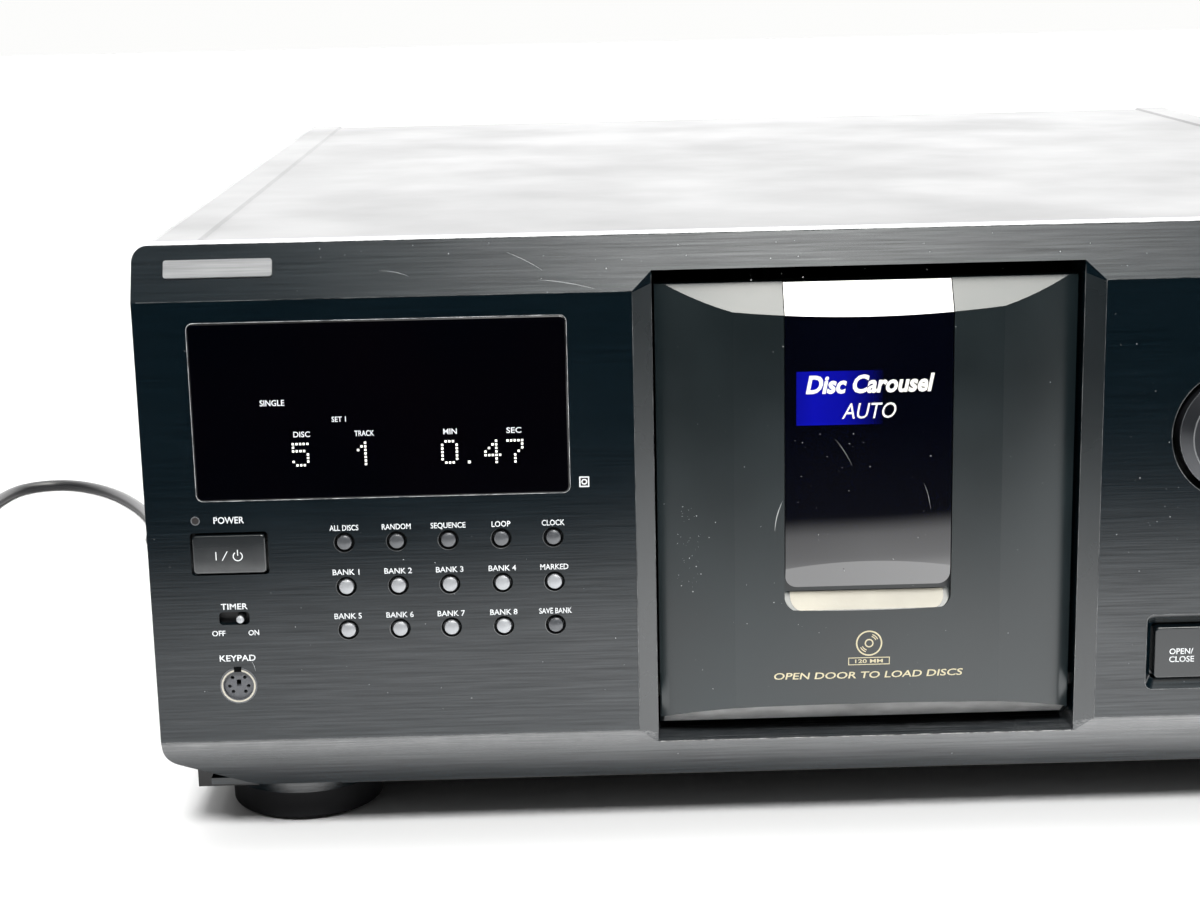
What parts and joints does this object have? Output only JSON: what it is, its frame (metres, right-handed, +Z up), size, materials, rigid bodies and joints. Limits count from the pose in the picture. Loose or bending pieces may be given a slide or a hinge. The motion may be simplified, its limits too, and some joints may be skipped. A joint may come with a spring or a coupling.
{
  "type": "cd mega changer",
  "caption": "Black compact disc changer with a carousel in its case, a front door with a gloss window, a display, rows of keys, two dials, round feet and a mains lead with a plug.",
  "frame": {"origin": "on the floor, under the middle of the case as seen from above", "axes": "+X to the viewer's right as seen from the front, +Y from the front panel to the rear, +Z up"},
  "size_m": [0.6784, 0.5472, 0.1875],
  "materials": {
    "satin_black_plastic": "satin, with fine lengthwise brushing on the main face",
    "black_sheet_steel": "satin black paint on sheet steel",
    "bare_black_steel": "black coated sheet steel",
    "black_foot_plastic": "matte moulded plastic",
    "foot_rubber": "felt-like rubber",
    "black_screw_steel": "black oxide",
    "smoked_acrylic": "glossy smoked acrylic",
    "gloss_black_acrylic": "glossy, nearly black",
    "display_glass": "clear glass with printed segments",
    "circuit_board": "brown paper-based laminate",
    "bright_plate": "brushed, no lettering",
    "red_lens": "clear red",
    "dark_lens": "dark red, nearly black",
    "socket_shell": "moulded core in a bright shell",
    "jack_metal": "plated",
    "transformer_steel": "varnished laminations",
    "frame_plastic": "moulded",
    "bright_steel": "bright",
    "gear_plastic": "natural white acetal",
    "silver_key": "metallic silver coat",
    "dark_key": "dark metallic coat",
    "cord_vinyl": "black vinyl"
  },
  "bodies": {
    "case": {"front_panel": "satin_black_plastic", "top_cover": "black_sheet_steel", "chassis_pan": "bare_black_steel", "rear_panel": "black_sheet_steel", "feet": "black_foot_plastic", "foot_pads": "foot_rubber", "case_screws": "black_screw_steel", "display_window": "smoked_acrylic", "display_tube": "display_glass", "front_boards": "circuit_board", "name_plate": "bright_plate", "standby_led": "red_lens", "sensor_window": "dark_lens", "keyboard_socket": "socket_shell", "rear_jacks": "jack_metal", "main_board": "circuit_board", "transformer": "transformer_steel", "player_frame": "frame_plastic", "steel_rods": "bright_steel", "drive_motors": "bright_steel", "spindle_motor": "bright_steel", "door_pins": "bright_steel", "strain_relief": "cord_vinyl", "power_cord": "cord_vinyl", "cord_coil": "cord_vinyl", "power_plug": "cord_vinyl"},
    "door": {"door_shell": "satin_black_plastic", "door_window": "gloss_black_acrylic"},
    "door_pinion": {"door_pinion": "gear_plastic"},
    "carousel": {"carousel": "frame_plastic"},
    "table_gear": {"table_gear": "gear_plastic"},
    "optical_pickup": {"optical_pickup": "frame_plastic"},
    "disc_hub": {"disc_hub": "gear_plastic"},
    "clamp_arm": {"clamp_arm": "bright_steel"},
    "disc_clamp": {"disc_clamp": "frame_plastic"},
    "loading_lever": {"loading_lever": "gear_plastic"},
    "loading_gear": {"loading_gear": "gear_plastic"},
    "disc_dial": {"disc_dial": "silver_key"},
    "track_dial": {"track_dial": "silver_key"},
    "timer_knob": {"timer_knob": "silver_key"},
    "power_button": {"power_button": "silver_key"},
    "open_close_button": {"open_close_button": "silver_key"},
    "play_button": {"play_button": "silver_key"},
    "pause_button": {"pause_button": "silver_key"},
    "stop_button": {"stop_button": "silver_key"},
    "key_1_1": {"key_1_1": "dark_key"},
    "key_1_2": {"key_1_2": "dark_key"},
    "key_1_3": {"key_1_3": "dark_key"},
    "key_1_4": {"key_1_4": "dark_key"},
    "key_1_5": {"key_1_5": "dark_key"},
    "key_2_1": {"key_2_1": "silver_key"},
    "key_2_2": {"key_2_2": "silver_key"},
    "key_2_3": {"key_2_3": "silver_key"},
    "key_2_4": {"key_2_4": "silver_key"},
    "key_2_5": {"key_2_5": "silver_key"},
    "key_3_1": {"key_3_1": "silver_key"},
    "key_3_2": {"key_3_2": "silver_key"},
    "key_3_3": {"key_3_3": "silver_key"},
    "key_3_4": {"key_3_4": "silver_key"},
    "key_3_5": {"key_3_5": "dark_key"}
  },
  "joints": [
    {"name": "door_hinge", "type": "hinge", "parent": "case", "child": "door", "pos_m": [0, -0.22325, 0.0458], "axis": [1, 0, 0], "range_deg": [0, 78]},
    {"name": "door_pinion_turn", "type": "hinge", "parent": "case", "child": "door_pinion", "pos_m": [0.0535, -0.21175, 0.06572], "axis": [1, 0, 0], "range_deg": [-179, 0]},
    {"name": "carousel_turn", "type": "hinge", "parent": "case", "child": "carousel", "pos_m": [0, 0, 0.036], "axis": [0, 0, 1], "continuous": true},
    {"name": "table_gear_turn", "type": "hinge", "parent": "case", "child": "table_gear", "pos_m": [0, 0.102, 0.033], "axis": [0, 0, 1], "continuous": true},
    {"name": "pickup_slide", "type": "slide", "parent": "case", "child": "optical_pickup", "axis": [0, 1, 0], "range_m": [0, 0.032]},
    {"name": "hub_spin", "type": "hinge", "parent": "case", "child": "disc_hub", "pos_m": [0.002, 0, 0.103], "axis": [1, 0, 0], "continuous": true},
    {"name": "clamp_swing", "type": "hinge", "parent": "case", "child": "clamp_arm", "pos_m": [-0.00925, 0, 0.166], "axis": [0, 1, 0], "range_deg": [0, 8]},
    {"name": "clamp_spin", "type": "hinge", "parent": "clamp_arm", "child": "disc_clamp", "pos_m": [-0.006, 0, 0.103], "axis": [1, 0, 0], "continuous": true},
    {"name": "lever_swing", "type": "hinge", "parent": "case", "child": "loading_lever", "pos_m": [0.006, -0.04, 0.0465], "axis": [1, 0, 0], "range_deg": [-30, 0]},
    {"name": "loading_gear_turn", "type": "hinge", "parent": "case", "child": "loading_gear", "pos_m": [0.006, -0.02, 0.0465], "axis": [1, 0, 0], "range_deg": [0, 45]},
    {"name": "disc_dial_turn", "type": "hinge", "parent": "case", "child": "disc_dial", "pos_m": [0.1105, -0.23475, 0.1245], "axis": [0, -1, 0], "continuous": true},
    {"name": "track_dial_turn", "type": "hinge", "parent": "case", "child": "track_dial", "pos_m": [0.172, -0.23475, 0.131], "axis": [0, -1, 0], "continuous": true},
    {"name": "timer_slide", "type": "slide", "parent": "case", "child": "timer_knob", "axis": [-1, 0, 0], "range_m": [0, 0.0044]},
    {"name": "power_button_press", "type": "slide", "parent": "case", "child": "power_button", "axis": [0, 1, 0], "range_m": [0, 0.0015], "stiffness_N_per_m": 400},
    {"name": "open_close_button_press", "type": "slide", "parent": "case", "child": "open_close_button", "axis": [0, 1, 0], "range_m": [0, 0.0015], "stiffness_N_per_m": 400},
    {"name": "play_button_press", "type": "slide", "parent": "case", "child": "play_button", "axis": [0, 1, 0], "range_m": [0, 0.0015], "stiffness_N_per_m": 400},
    {"name": "pause_button_press", "type": "slide", "parent": "case", "child": "pause_button", "axis": [0, 1, 0], "range_m": [0, 0.0015], "stiffness_N_per_m": 400},
    {"name": "stop_button_press", "type": "slide", "parent": "case", "child": "stop_button", "axis": [0, 1, 0], "range_m": [0, 0.0015], "stiffness_N_per_m": 400},
    {"name": "key_1_1_press", "type": "slide", "parent": "case", "child": "key_1_1", "axis": [0, 1, 0], "range_m": [0, 0.001], "stiffness_N_per_m": 400},
    {"name": "key_1_2_press", "type": "slide", "parent": "case", "child": "key_1_2", "axis": [0, 1, 0], "range_m": [0, 0.001], "stiffness_N_per_m": 400},
    {"name": "key_1_3_press", "type": "slide", "parent": "case", "child": "key_1_3", "axis": [0, 1, 0], "range_m": [0, 0.001], "stiffness_N_per_m": 400},
    {"name": "key_1_4_press", "type": "slide", "parent": "case", "child": "key_1_4", "axis": [0, 1, 0], "range_m": [0, 0.001], "stiffness_N_per_m": 400},
    {"name": "key_1_5_press", "type": "slide", "parent": "case", "child": "key_1_5", "axis": [0, 1, 0], "range_m": [0, 0.001], "stiffness_N_per_m": 400},
    {"name": "key_2_1_press", "type": "slide", "parent": "case", "child": "key_2_1", "axis": [0, 1, 0], "range_m": [0, 0.001], "stiffness_N_per_m": 400},
    {"name": "key_2_2_press", "type": "slide", "parent": "case", "child": "key_2_2", "axis": [0, 1, 0], "range_m": [0, 0.001], "stiffness_N_per_m": 400},
    {"name": "key_2_3_press", "type": "slide", "parent": "case", "child": "key_2_3", "axis": [0, 1, 0], "range_m": [0, 0.001], "stiffness_N_per_m": 400},
    {"name": "key_2_4_press", "type": "slide", "parent": "case", "child": "key_2_4", "axis": [0, 1, 0], "range_m": [0, 0.001], "stiffness_N_per_m": 400},
    {"name": "key_2_5_press", "type": "slide", "parent": "case", "child": "key_2_5", "axis": [0, 1, 0], "range_m": [0, 0.001], "stiffness_N_per_m": 400},
    {"name": "key_3_1_press", "type": "slide", "parent": "case", "child": "key_3_1", "axis": [0, 1, 0], "range_m": [0, 0.001], "stiffness_N_per_m": 400},
    {"name": "key_3_2_press", "type": "slide", "parent": "case", "child": "key_3_2", "axis": [0, 1, 0], "range_m": [0, 0.001], "stiffness_N_per_m": 400},
    {"name": "key_3_3_press", "type": "slide", "parent": "case", "child": "key_3_3", "axis": [0, 1, 0], "range_m": [0, 0.001], "stiffness_N_per_m": 400},
    {"name": "key_3_4_press", "type": "slide", "parent": "case", "child": "key_3_4", "axis": [0, 1, 0], "range_m": [0, 0.001], "stiffness_N_per_m": 400},
    {"name": "key_3_5_press", "type": "slide", "parent": "case", "child": "key_3_5", "axis": [0, 1, 0], "range_m": [0, 0.001], "stiffness_N_per_m": 400}
  ],
  "couplings": [
    {"joint": "door_pinion_turn", "follows": "door_hinge", "ratio": -2.2857},
    {"joint": "table_gear_turn", "follows": "carousel_turn", "ratio": -7.5},
    {"joint": "clamp_spin", "follows": "hub_spin", "ratio": 1},
    {"joint": "loading_gear_turn", "follows": "lever_swing", "ratio": -1.5}
  ]
}
